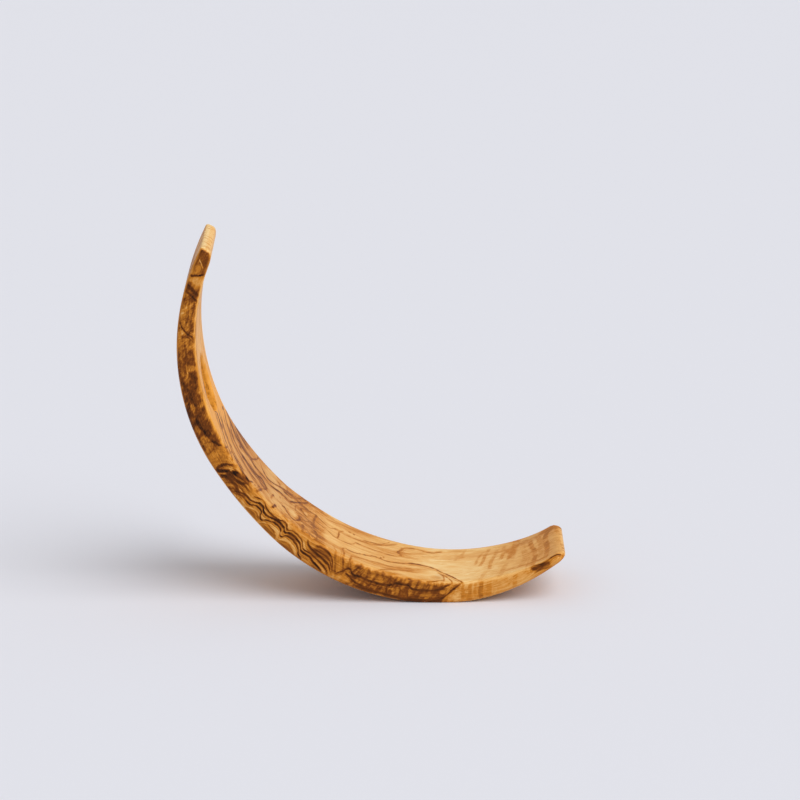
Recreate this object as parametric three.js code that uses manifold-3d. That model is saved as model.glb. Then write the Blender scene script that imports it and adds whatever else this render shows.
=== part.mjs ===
// A curved board of olive wood that holds a wine bottle by its neck, balanced on a small sanded flat.
// The board is carved from one block, so it is one piece. Millimetres, +Z up. The origin is on the floor
// under the lowest point of the curve, -X is the tall arm's side and Y runs across the board.
import * as THREE from "three";
import { mergeVertices } from "three/addons/utils/BufferGeometryUtils.js";
import Module from "manifold-3d";

// Outer face, seen from the side: four tangent arcs. A heading is the angle that the face has climbed
// from the floor, in degrees: positive up the tall arm, negative up the short lip, 0 at the foot.
const lipRadius = 109;
const lipSweep = 41.2;
const bellyRadius = 136;
const bellySweep = 46.4;
const flankRadius = 244;
const flankSweep = 11;
const armRadius = 129.3;
const armSweep = 60.2;

// Thickness, measured square to the outer face, at stations along the board.
const lipThickness = 4.8;
const footThickness = 13.2;
const bellyThickness = 15.5;
const bellyHeading = 30;
const waistThickness = 12.5;
const waistHeading = 56;
const neckThickness = 12.1;
const armThickness = 9.8;
const armHeading = 100;
const tipThickness = 8;

// Width: the sides run parallel from the foot up to the arm's thinner end, and draw in towards both ends.
const boardWidth = 64;
const tipWidth = 63;
const lipWidth = 58;
const edgeRadius = 2.6;

// The two ends have rounded corners, and their inner side rolls over to a thinner end face.
const tipEase = 1.8;
const tipCornerRadius = 3;
const tipEndThickness = 5.4;
const tipRoll = 10;
const lipEase = 1;
const lipCornerRadius = 7;
const lipEndThickness = 2.6;
const lipRoll = 6;

// The sanded flat that the board stands on is cut this deep into the curve.
const footFlatDepth = 0.8;

// The hole for the neck is bored through the middle of the board, leaning up and in from the square.
const neckDiameter = 29;
const neckClearance = 2;
const holeHeading = 75.5;
const holeLean = 25;

// Fineness of the facets, as the longest that they may be: along the board, along its rolled ends,
// round its edges and round the bore.
const ringPitch = 4.1;
const endPitch = 1.7;
const edgeFacet = 1.05;
const boreFacet = 2.05;

const radians = THREE.MathUtils.degToRad;
const degrees = THREE.MathUtils.radToDeg;
const tipHeading = bellySweep + flankSweep + armSweep;
const lipHeading = -lipSweep;

const arcs = [
  { radius: lipRadius, from: lipHeading, to: 0 },
  { radius: bellyRadius, from: 0, to: bellySweep },
  { radius: flankRadius, from: bellySweep, to: bellySweep + flankSweep },
  { radius: armRadius, from: bellySweep + flankSweep, to: tipHeading },
];

// A point of the outer face: each arc adds the part of itself that lies between the foot and the heading.
function outerPoint(heading) {
  const point = new THREE.Vector3(0, 0, -footFlatDepth);
  for (const arc of arcs) {
    const start = radians(THREE.MathUtils.clamp(0, arc.from, arc.to));
    const end = radians(THREE.MathUtils.clamp(heading, arc.from, arc.to));
    point.x -= arc.radius * (Math.sin(end) - Math.sin(start));
    point.z += arc.radius * (Math.cos(start) - Math.cos(end));
  }
  return point;
}

// The direction from the outer face to the inner face.
function inward(heading) {
  return new THREE.Vector3(Math.sin(radians(heading)), 0, Math.cos(radians(heading)));
}

const stations = [
  [lipHeading, lipThickness],
  [0, footThickness],
  [bellyHeading, bellyThickness],
  [waistHeading, waistThickness],
  [holeHeading, neckThickness],
  [armHeading, armThickness],
  [tipHeading, tipThickness],
];
const smoothThickness = new THREE.CubicInterpolant(
  stations.map((station) => station[0]),
  stations.map((station) => station[1]),
  1,
);

// How far a quarter round has drawn a face in, at a distance from the end of the board.
function drawnIn(distance, radius) {
  if (distance >= radius) return 0;
  return radius - Math.sqrt(radius ** 2 - (radius - distance) ** 2);
}

// The width, before the ends' corners are rounded off.
function widthAt(heading) {
  const towardsTip = THREE.MathUtils.smoothstep(heading, holeHeading, tipHeading);
  const towardsLip = THREE.MathUtils.smoothstep(-heading, 0, -lipHeading);
  return boardWidth - (boardWidth - tipWidth) * towardsTip - (boardWidth - lipWidth) * towardsLip;
}

// The board's section at a heading: half its width, the depths of its two faces and its edge radius.
function sectionAt(heading) {
  const fromTip = armRadius * radians(tipHeading - heading);
  const fromLip = lipRadius * radians(heading - lipHeading);
  const full = smoothThickness.evaluate(heading)[0];
  const tipRolled = ((full - tipEndThickness) * drawnIn(fromTip, tipRoll)) / tipRoll;
  const lipRolled = ((full - lipEndThickness) * drawnIn(fromLip, lipRoll)) / lipRoll;
  const outer = drawnIn(fromTip, tipEase) + drawnIn(fromLip, lipEase);
  const inner = full - tipRolled - lipRolled;
  const corners = drawnIn(fromTip, tipCornerRadius) + drawnIn(fromLip, lipCornerRadius);
  const halfWidth = widthAt(heading) / 2 - corners;
  // A round can take at most half of a thin end, less a little so that a flat is left.
  const round = Math.min(edgeRadius, 0.45 * (inner - outer));
  return { halfWidth, outer, inner, round };
}

// Headings of the rings: close together where an end rolls over, at a steady pitch elsewhere.
function ringHeadings() {
  const turnsOver = (length, radius) => {
    const count = Math.ceil(length / endPitch);
    const share = (step) => 1 - Math.cos((Math.PI / 2) * (step / count));
    return Array.from({ length: count + 1 }, (_, step) => degrees((length * share(step)) / radius));
  };
  const lipEnd = Math.max(lipRoll, lipCornerRadius);
  const tipEnd = Math.max(tipRoll, tipCornerRadius);
  const lipRings = turnsOver(lipEnd, lipRadius).map((turn) => lipHeading + turn);
  const tipRings = turnsOver(tipEnd, armRadius).map((turn) => tipHeading - turn);
  const first = lipRings.at(-1);
  const last = tipRings.at(-1);
  const between = [];
  for (const arc of arcs) {
    const from = Math.max(arc.from, first);
    const to = Math.min(arc.to, last);
    const count = Math.ceil((arc.radius * radians(to - from)) / ringPitch);
    for (let k = 1; k <= count; k++) between.push(from + ((to - from) * k) / count);
  }
  between.pop();
  return [...lipRings, ...between, ...tipRings.reverse()];
}

// One ring of the board's skin, with its four corners rounded.
function ringPoints(heading) {
  const section = sectionAt(heading);
  const base = outerPoint(heading);
  const normal = inward(heading);
  const middle = (section.inner + section.outer) / 2;
  const halfDepth = (section.inner - section.outer) / 2;
  const stepCount = Math.ceil(((Math.PI / 2) * edgeRadius) / edgeFacet);
  const points = [];
  for (let corner = 0; corner < 4; corner++) {
    const ySide = corner === 0 || corner === 3 ? 1 : -1;
    const depthSide = corner < 2 ? 1 : -1;
    for (let step = 0; step <= stepCount; step++) {
      const turn = (Math.PI / 2) * (corner + step / stepCount);
      const y = ySide * (section.halfWidth - section.round) + section.round * Math.cos(turn);
      const depth = middle + depthSide * (halfDepth - section.round) + section.round * Math.sin(turn);
      points.push(base.clone().addScaledVector(normal, depth).setY(y));
    }
  }
  return points;
}

// A closed skin over a row of rings, with a fan over each end.
function skinOver(rings) {
  const count = rings[0].length;
  const points = rings.flat();
  const centre = (ring) => ring.reduce((sum, p) => sum.add(p), new THREE.Vector3()).divideScalar(count);
  const firstCentre = points.push(centre(rings[0])) - 1;
  const lastCentre = points.push(centre(rings.at(-1))) - 1;
  const lastRing = (rings.length - 1) * count;
  const index = [];
  for (let k = 0; k < count; k++) {
    const next = (k + 1) % count;
    for (let row = 0; row < lastRing; row += count) {
      index.push(row + k, row + count + next, row + next);
      index.push(row + k, row + count + k, row + count + next);
    }
    index.push(firstCentre, k, next);
    index.push(lastCentre, lastRing + next, lastRing + k);
  }
  return new THREE.BufferGeometry().setFromPoints(points).setIndex(index);
}

const wasm = await Module();
wasm.setup();

function solidFrom(geometry) {
  const bare = new THREE.BufferGeometry();
  bare.setAttribute("position", geometry.getAttribute("position"));
  bare.setIndex(geometry.getIndex());
  const merged = mergeVertices(bare);
  const vertProperties = merged.getAttribute("position").array;
  const triVerts = new Uint32Array(merged.getIndex().array);
  return new wasm.Manifold(new wasm.Mesh({ numProp: 3, vertProperties, triVerts }));
}

function geometryFrom(solid) {
  const mesh = solid.getMesh();
  const geometry = new THREE.BufferGeometry();
  geometry.setAttribute("position", new THREE.BufferAttribute(mesh.vertProperties, 3));
  geometry.setIndex(new THREE.BufferAttribute(mesh.triVerts, 1));
  geometry.computeVertexNormals();
  return geometry;
}

function boardBlank() {
  return solidFrom(skinOver(ringHeadings().map(ringPoints)));
}

// The bore runs through the middle of the board's thickness and well past both faces.
function neckBore() {
  const middle = neckThickness / 2;
  const centre = outerPoint(holeHeading).addScaledVector(inward(holeHeading), middle);
  const climb = radians(90 - holeHeading + holeLean);
  const direction = new THREE.Vector3(Math.cos(climb), 0, Math.sin(climb));
  const diameter = neckDiameter + neckClearance;
  const length = neckThickness / Math.cos(radians(holeLean)) + 2 * diameter;
  const sideCount = Math.ceil((Math.PI * diameter) / boreFacet);
  const bore = new THREE.CylinderGeometry(diameter / 2, diameter / 2, length, sideCount);
  const turn = new THREE.Quaternion().setFromUnitVectors(new THREE.Vector3(0, 1, 0), direction);
  bore.applyQuaternion(turn);
  bore.translate(centre.x, centre.y, centre.z);
  return solidFrom(bore);
}

// Everything below the floor is sanded away, which leaves the flat that the board stands on.
function belowFloor() {
  const depth = 2 * footFlatDepth;
  const block = new THREE.BoxGeometry(2 * (lipRadius + bellyRadius), 2 * boardWidth, depth);
  block.translate(0, 0, -depth / 2);
  return solidFrom(block);
}

const oliveWood = new THREE.MeshStandardMaterial({ color: 0xb9853f, roughness: 0.42, metalness: 0 });

const carved = boardBlank().subtract(neckBore()).subtract(belowFloor());
const oliveArc = new THREE.Mesh(geometryFrom(carved), oliveWood);
oliveArc.name = "olive_arc";

const bottleHolder = new THREE.Group();
bottleHolder.add(oliveArc);

export default bottleHolder;
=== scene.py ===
"""A wine bottle holder: a curved board of olive wood with a leaning hole, dressed around its frame."""
import math
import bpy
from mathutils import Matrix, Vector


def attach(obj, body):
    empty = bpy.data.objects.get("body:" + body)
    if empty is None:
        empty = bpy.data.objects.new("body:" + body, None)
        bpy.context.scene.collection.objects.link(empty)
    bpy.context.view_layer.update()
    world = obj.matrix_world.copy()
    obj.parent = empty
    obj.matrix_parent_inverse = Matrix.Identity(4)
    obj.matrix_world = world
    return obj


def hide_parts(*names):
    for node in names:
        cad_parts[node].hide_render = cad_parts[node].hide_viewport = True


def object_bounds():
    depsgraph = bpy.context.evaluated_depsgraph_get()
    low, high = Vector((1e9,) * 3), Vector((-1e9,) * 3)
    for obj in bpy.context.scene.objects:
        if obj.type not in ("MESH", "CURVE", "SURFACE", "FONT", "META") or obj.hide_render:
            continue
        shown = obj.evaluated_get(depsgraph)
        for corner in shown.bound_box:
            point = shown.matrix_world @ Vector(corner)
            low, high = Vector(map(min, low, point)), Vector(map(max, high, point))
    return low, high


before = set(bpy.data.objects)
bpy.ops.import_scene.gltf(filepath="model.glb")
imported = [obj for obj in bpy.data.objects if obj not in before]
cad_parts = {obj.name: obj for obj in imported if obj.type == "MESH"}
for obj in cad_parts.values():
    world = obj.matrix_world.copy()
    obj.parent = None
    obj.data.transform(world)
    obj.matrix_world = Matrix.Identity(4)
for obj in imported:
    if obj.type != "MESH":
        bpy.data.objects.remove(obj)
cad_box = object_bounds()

from types import SimpleNamespace

import bpy
from bpy.props import FloatProperty, FloatVectorProperty, PointerProperty
from mathutils import Vector

bl_info = {
    "name": "Olive wood bottle holder",
    "version": (1, 0, 0),
    "blender": (4, 5, 0),
    "location": "3D View > Sidebar > Holder",
    "description": "Carves a curved olive wood board with a leaning hole, and sets it on a pale floor",
    "category": "Object",
}

BOARD_NODE = "olive_arc"
PLACE = "place"
REACH = "reach"
MM = 0.001

# The ends roll over with this power of the way to them. The round of an edge takes up at most this share of
# the thickness. The swells of the sanding have this much finer detail.
ROLL_POWER = 3
ROUNDEST_EDGE = 0.45
SANDING_DETAIL = 1.0
# The distance field reaches some cells past the board, and has this value beyond.
MARGIN_CELLS = 4
OUTSIDE = -1.0
# A noise node gives numbers around this middle, which the wood's textures spread out around 0.
NOISE_MIDDLE, NOISE_SPREAD = 0.5, 4.0


def length(name, millimetres, description):
    """A property that holds a length in metres."""
    return FloatProperty(name=name, description=description, default=millimetres * MM, min=0.0,
                         precision=4, subtype="DISTANCE", unit="LENGTH")


def angle(name, degrees, description):
    """A property that holds an angle in radians."""
    return FloatProperty(name=name, description=description, default=math.radians(degrees),
                         subtype="ANGLE", unit="ROTATION")


def share(name, value, description):
    """A property that holds a number from 0 to 1."""
    return FloatProperty(name=name, description=description, default=value,
                         min=0.0, max=1.0, subtype="FACTOR")


def linear(red, green, blue):
    """A colour on the shader's own scale, from the three numbers, up to 255, that a screen shows."""
    parts = (part / 255 for part in (red, green, blue))
    return tuple(part / 12.92 if part <= 0.04045 else ((part + 0.055) / 1.055) ** 2.4 for part in parts)


def tint(name, rgb, description):
    """A property that holds a colour."""
    return FloatVectorProperty(name=name, description=description, default=linear(*rgb), size=3,
                               min=0.0, max=1.0, subtype="COLOR")


class HolderBoardSizes(bpy.types.PropertyGroup):
    """Sizes of the carved board. A heading is the angle that its outer face has climbed from the floor."""

    lip_radius: length("Lip radius", 109, "Radius of the outer face under the short lip")
    lip_sweep: angle("Lip sweep", 41.2, "How far the lip climbs")
    belly_radius: length("Belly radius", 136, "Radius of the outer face from the foot up to the flank")
    belly_sweep: angle("Belly sweep", 46.4, "How far the belly climbs")
    flank_radius: length("Flank radius", 244, "Radius of the flatter stretch between belly and arm")
    flank_sweep: angle("Flank sweep", 11, "How far the flank turns")
    arm_radius: length("Arm radius", 129.3, "Radius of the outer face of the tall arm")
    arm_sweep: angle("Arm sweep", 60.2, "How far the arm turns, up to its tip")

    lip_thickness: length("Lip thickness", 4.8, "Thickness where the lip begins to roll over")
    foot_thickness: length("Foot thickness", 13.2, "Thickness over the foot")
    belly_thickness: length("Belly thickness", 15.5, "Thickness at its greatest, on the belly")
    belly_heading: angle("Belly heading", 30, "Where the belly thickness is measured")
    waist_thickness: length("Waist thickness", 12.5, "Thickness on the flank")
    waist_heading: angle("Waist heading", 56, "Where the waist thickness is measured")
    neck_thickness: length("Neck thickness", 12.1, "Thickness at the hole")
    arm_thickness: length("Arm thickness", 9.8, "Thickness of the upper arm")
    arm_heading: angle("Arm heading", 100, "Where the arm thickness is measured")
    tip_thickness: length("Tip thickness", 8, "Thickness where the tip begins to roll over")

    board_width: length("Board width", 64, "Width over most of the board")
    tip_width: length("Tip width", 63, "Width at the tip")
    lip_width: length("Lip width", 58, "Width at the lip")
    edge_radius: length("Edge radius", 2.6, "Round of the long edges")
    end_ease: length("End ease", 1.3, "Round of the edges at the two ends")
    end_blend: length("End blend", 9, "Length over which the long edges sharpen towards the ends")
    tip_corner: length("Tip corner", 3, "Corner radius of the tip, seen square to the face")
    tip_end: length("Tip end", 5.4, "Thickness of the tip's end face")
    tip_roll: length("Tip roll", 10, "Length over which the tip rolls over")
    lip_corner: length("Lip corner", 7, "Corner radius of the lip, seen square to the face")
    lip_end: length("Lip end", 2.9, "Thickness of the lip's end face")
    lip_roll: length("Lip roll", 6, "Length over which the lip rolls over")

    foot_flat: length("Foot flat", 0.8, "Depth of the sanded flat that the board stands on")
    foot_ease: length("Foot ease", 0.5, "Round at the edges of the sanded flat")
    hole_width: length("Hole width", 31, "Diameter of the hole")
    hole_heading: angle("Hole heading", 75.5, "Where the hole is bored")
    hole_lean: angle("Hole lean", 25, "How far the hole leans up from square to the board")
    rim_radius: length("Rim radius", 1.3, "Round of the hole's two rims")

    sanding_pitch: length("Sanding pitch", 42, "Distance between the swells that hand sanding leaves")
    sanding_swell: length("Sanding swell", 0.35, "Height of those swells")
    grain_size: length("Grain size", 0.84, "Edge length of the mesh's faces")


class HolderWoodLook(bpy.types.PropertyGroup):
    """Colours and finish of the oiled olive wood."""

    cream: tint("Cream", (255, 228, 168), "Palest sapwood and end grain")
    honey: tint("Honey", (238, 184, 108), "Plain wood")
    amber: tint("Amber", (206, 130, 40), "Warmer bands")
    brown: tint("Brown", (126, 66, 14), "Shaded heartwood")
    dark: tint("Dark", (30, 11, 2), "The darkest veins")
    rose: tint("Rose", (146, 92, 62), "Rosy patches of the inner face")
    gold: tint("Gold", (244, 168, 58), "Golden inner face of the arm")
    wobble: length("Wobble", 0.9, "How far the veins waver")
    roughness: share("Roughness", 0.42, "Roughness of the oiled surface")
    gloss: share("Gloss", 0.12, "Strength of the oil's reflection")
    pore_depth: length("Pore depth", 0.05, "Depth of the open pores")


class HolderStage(bpy.types.PropertyGroup):
    """The pale floor, the soft light and the camera."""

    floor_reach: length("Floor reach", 8000, "Distance from the middle of the floor to its edges")
    floor_colour: tint("Floor colour", (232, 233, 241), "Colour of the floor")
    floor_roughness: share("Floor roughness", 0.8, "Roughness of the floor")
    room_light: FloatProperty(name="Room light", description="Strength of the light from all around",
                              default=0.5, min=0.0)
    window_light: FloatProperty(name="Window light", description="Strength of the light from one side",
                                default=1.8, min=0.0)
    window_spread: angle("Window spread", 50, "How wide the window seems, which softens the shadows")
    window_lean_back: angle("Window lean back", 24, "How far the window light leans towards the camera")
    window_lean_right: angle("Window lean right", 32, "How far the window light leans to the right")
    lens: length("Lens", 158.1, "Focal length of the camera")
    view_climb: angle("View climb", 15.68, "How far the camera looks down")
    view_distance: length("View distance", 2000, "Distance from the camera to what it looks at")
    view_left: length("View left", 23.01, "How far left of the foot the camera looks")
    view_height: length("View height", 111.05, "How far above the floor the camera looks")


class Wire:
    """A node socket that takes Python arithmetic: each operation adds a Math node to the socket's tree."""

    def __init__(self, tree, socket=None):
        self.tree = tree
        self.socket = socket

    def node(self, kind, settings=None, sockets=None, out=0):
        """Adds a node: first its settings, then its sockets' values or links. Gives one of its outputs."""
        made = self.tree.nodes.new(kind)
        for key, value in (settings or {}).items():
            if key == "points":
                shape_curve(made.mapping, value)
            elif key == "stops":
                shape_ramp(made.color_ramp, value)
            else:
                setattr(made, key, value)
        for key, value in (sockets or {}).items():
            if isinstance(value, Wire):
                self.tree.links.new(value.socket, made.inputs[key])
            else:
                made.inputs[key].default_value = value
        return Wire(self.tree, made.outputs[out])

    def math(self, operation, *others):
        return self.node("ShaderNodeMath", {"operation": operation}, dict(enumerate((self, *others))))

    def __add__(self, other):
        return self.math("ADD", other)

    def __sub__(self, other):
        return self.math("SUBTRACT", other)

    def __rsub__(self, other):
        return self.node("ShaderNodeMath", {"operation": "SUBTRACT"}, {0: other, 1: self})

    def __mul__(self, other):
        return self.math("MULTIPLY", other)

    def __truediv__(self, other):
        return self.math("DIVIDE", other)

    def __rtruediv__(self, other):
        return self.node("ShaderNodeMath", {"operation": "DIVIDE"}, {0: other, 1: self})

    def __pow__(self, other):
        return self.math("POWER", other)

    def __neg__(self):
        return self * -1

    def __abs__(self):
        return self.math("ABSOLUTE")

    __radd__ = __add__
    __rmul__ = __mul__


def shape_curve(mapping, points):
    """Draws a Float Curve through points, each from 0 to 1 both ways."""
    curve = mapping.curves[0]
    while len(curve.points) < len(points):
        curve.points.new(0.5, 0.5)
    for point, wanted in zip(curve.points, points):
        point.location = wanted
        point.handle_type = "AUTO_CLAMPED"
    mapping.update()


def shape_ramp(ramp, stops):
    """Sets a colour ramp's stops, each a position and a colour."""
    while len(ramp.elements) < len(stops):
        ramp.elements.new(1.0)
    for element, (position, rgb) in zip(ramp.elements, stops):
        element.position = position
        element.color = (*rgb, 1.0)


def least(first, second):
    return first.math("MINIMUM", second)


def most(first, second):
    return first.math("MAXIMUM", second)


def hypot(first, second):
    return (first * first + second * second).math("SQRT")


def choose(condition, yes, no):
    """One of two values: yes where the condition is 1, no where it is 0, and a blend between."""
    return no + (yes - no) * condition


def rise(value, start, end):
    """A smooth step from 0 at start to 1 at end."""
    return value.node("ShaderNodeMapRange", {"interpolation_type": "SMOOTHSTEP"},
                      {0: value, 1: start, 2: end, 3: 0.0, 4: 1.0})


def follow(value, points):
    """A smooth curve through given points: what the value is, and what it becomes there."""
    firsts = [point[0] for point in points]
    seconds = [point[1] for point in points]
    start, span = firsts[0], firsts[-1] - firsts[0]
    low, reach = min(seconds), max(seconds) - min(seconds)
    unit = [((first - start) / span, (second - low) / reach) for first, second in points]
    passed = value.node("ShaderNodeMapRange", None, {0: value, 1: start, 2: start + span})
    drawn = value.node("ShaderNodeFloatCurve", {"points": unit}, {1: passed})
    return drawn if (low, reach) == (0, 1) else drawn.math("MULTIPLY_ADD", reach, low)


def rounded_cut(first, second, radius):
    """The greater of two distances, with the edge where they meet rounded over."""
    first, second = first + radius, second + radius
    outside = hypot(most(first, 0), most(second, 0))
    return least(most(first, second), 0) + outside - radius


def split(vector):
    """The three parts of a vector."""
    return [vector.node("ShaderNodeSeparateXYZ", None, {0: vector}, out) for out in range(3)]


def board_place(size, x, z):
    """Where a point lies: its heading, how far along the outer face and how deep, and the arm's centre."""
    flank_heading = size["belly_sweep"]
    arm_start = flank_heading + size["flank_sweep"]
    centre_x, centre_z = x * 0, size["lip_radius"] - size["foot_flat"]
    heading = (centre_x - x).math("ARCTAN2", centre_z - z)
    depth = size["lip_radius"] - hypot(x - centre_x, z - centre_z)
    centre_z = size["belly_radius"] - size["foot_flat"]
    stretches = (("belly", "belly", 0.0), ("flank", "belly", flank_heading), ("arm", "flank", arm_start))
    for name, last, start in stretches:
        if name != last:
            shift = size[f"{name}_radius"] - size[f"{last}_radius"]
            centre_x = centre_x + shift * start.math("SINE")
            centre_z = centre_z + shift * start.math("COSINE")
        turned = (centre_x - x).math("ARCTAN2", centre_z - z)
        reached = turned.math("GREATER_THAN", start)
        heading = choose(reached, turned, heading)
        depth = choose(reached, size[f"{name}_radius"] - hypot(x - centre_x, z - centre_z), depth)
    belly_part = least(most(heading, 0), flank_heading)
    flank_part = least(most(heading - flank_heading, 0), size["flank_sweep"])
    along = (size["lip_radius"] * least(heading, 0) + size["belly_radius"] * belly_part
             + size["flank_radius"] * flank_part + size["arm_radius"] * most(heading - arm_start, 0))
    return heading, along, depth, (centre_x, centre_z)


def board_distance(size, sizes, position):
    """Distance from the board's skin, below zero inside the wood, and two vectors in millimetres.

    The place of a point is how far it lies along the board, across it and below the outer face. Its reach
    is how far it lies from the inner face, from the outer face and from the nearer side.
    """
    x, y, z = split(position)
    heading, along, depth, (arm_x, arm_z) = board_place(size, x, z)
    tip_heading = size["belly_sweep"] + size["flank_sweep"] + size["arm_sweep"]
    from_tip = size["arm_radius"] * (tip_heading - heading)
    from_lip = size["lip_radius"] * (heading + size["lip_sweep"])
    from_end = least(from_tip, from_lip)

    stations = (("lip", -sizes.lip_sweep), ("foot", 0.0), ("belly", sizes.belly_heading),
                ("waist", sizes.waist_heading), ("neck", sizes.hole_heading), ("arm", sizes.arm_heading),
                ("tip", sizes.belly_sweep + sizes.flank_sweep + sizes.arm_sweep))
    thickness = follow(heading, [(where, getattr(sizes, f"{name}_thickness")) for name, where in stations])
    for name, distance in (("tip", from_tip), ("lip", from_lip)):
        rolled = most(1 - distance / size[f"{name}_roll"], 0) ** ROLL_POWER
        thickness = thickness - (thickness - size[f"{name}_end"]) * rolled
    drawn_tip = (size["board_width"] - size["tip_width"]) * rise(heading, size["hole_heading"], tip_heading)
    drawn_lip = (size["board_width"] - size["lip_width"]) * rise(-heading, 0.0, size["lip_sweep"])
    half_width = (size["board_width"] - drawn_tip - drawn_lip) / 2

    corner = choose(heading.math("GREATER_THAN", 0.0), size["tip_corner"], size["lip_corner"])
    plan = rounded_cut(abs(y) - half_width, -from_end, corner)
    edge = choose(rise(from_end, 0.0, size["end_blend"]), size["edge_radius"], size["end_ease"])
    edge = least(edge, thickness * ROUNDEST_EDGE)
    board = rounded_cut(plan, abs(depth - thickness / 2) - thickness / 2, edge)
    swell = position.node("ShaderNodeTexNoise", {"noise_dimensions": "3D"}, {
        "Vector": position, "Scale": 1 / size["sanding_pitch"], "Detail": SANDING_DETAIL})
    board = board + (swell - NOISE_MIDDLE) * size["sanding_swell"]

    square_x, square_z = size["hole_heading"].math("SINE"), size["hole_heading"].math("COSINE")
    to_middle = size["arm_radius"] - size["neck_thickness"] / 2
    climb = math.pi / 2 - size["hole_heading"] + size["hole_lean"]
    off_axis = ((z - arm_z + to_middle * square_z) * climb.math("COSINE")
                - (x - arm_x + to_middle * square_x) * climb.math("SINE"))
    bored = rounded_cut(board, size["hole_width"] / 2 - hypot(off_axis, y), size["rim_radius"])
    carved = rounded_cut(bored, -z, size["foot_ease"])
    place = position.node("ShaderNodeCombineXYZ", None, {0: along / MM, 1: y / MM, 2: depth / MM})
    reach = position.node("ShaderNodeCombineXYZ", None, {
        0: (thickness - depth) / MM, 1: depth / MM, 2: (half_width - abs(y)) / MM})
    return carved, place, reach


def board_tree(sizes, wood):
    """Node tree that fills the board with a distance field and skins it."""
    tree = bpy.data.node_groups.new("Olive wood board", "GeometryNodeTree")
    tree.interface.new_socket("Geometry", in_out="OUTPUT", socket_type="NodeSocketGeometry")
    start = Wire(tree)
    identifiers = {}
    for key, prop in HolderBoardSizes.bl_rna.properties.items():
        if key in HolderBoardSizes.__annotations__:
            socket = tree.interface.new_socket(prop.name, in_out="INPUT", socket_type="NodeSocketFloat")
            identifiers[key] = socket.identifier
    inputs = tree.nodes.new("NodeGroupInput")
    size = {key: Wire(tree, inputs.outputs[number]) for number, key in enumerate(identifiers)}

    distance, place, reach = board_distance(size, sizes, start.node("GeometryNodeInputPosition"))
    low, high = (Vector(corner) for corner in cad_box)
    margin = Vector((1, 1, 1)) * MARGIN_CELLS * sizes.grain_size
    counts = [math.ceil((b - a) / sizes.grain_size) for a, b in zip(low - margin, high + margin)]
    filled = start.node("GeometryNodeVolumeCube", None, {
        "Density": -distance, "Background": OUTSIDE, "Min": low - margin,
        "Max": low - margin + Vector(counts) * sizes.grain_size,
        "Resolution X": counts[0] + 1, "Resolution Y": counts[1] + 1, "Resolution Z": counts[2] + 1})
    skin = start.node("GeometryNodeVolumeToMesh", {"resolution_mode": "GRID"},
                      {"Volume": filled, "Threshold": 0.0})
    placed = start.node("GeometryNodeSetShadeSmooth", None, {"Geometry": skin})
    point_vector = {"data_type": "FLOAT_VECTOR", "domain": "POINT"}
    for name, value in ((PLACE, place), (REACH, reach)):
        placed = start.node("GeometryNodeStoreNamedAttribute", point_vector,
                            {"Geometry": placed, "Name": name, "Value": value})
    realized = start.node("GeometryNodeRealizeInstances", None, {"Geometry": placed})
    finished = start.node("GeometryNodeSetMaterial", None, {"Geometry": realized, "Material": wood})
    tree.links.new(finished.socket, tree.nodes.new("NodeGroupOutput").inputs["Geometry"])
    return tree, identifiers


# The board's figure, in millimetres. A vein has the points that it passes through, its width, the reach of
# the shade on its upper side, or lower side where negative, and its tone, from 0, pale, to 1, nearly black.

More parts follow.
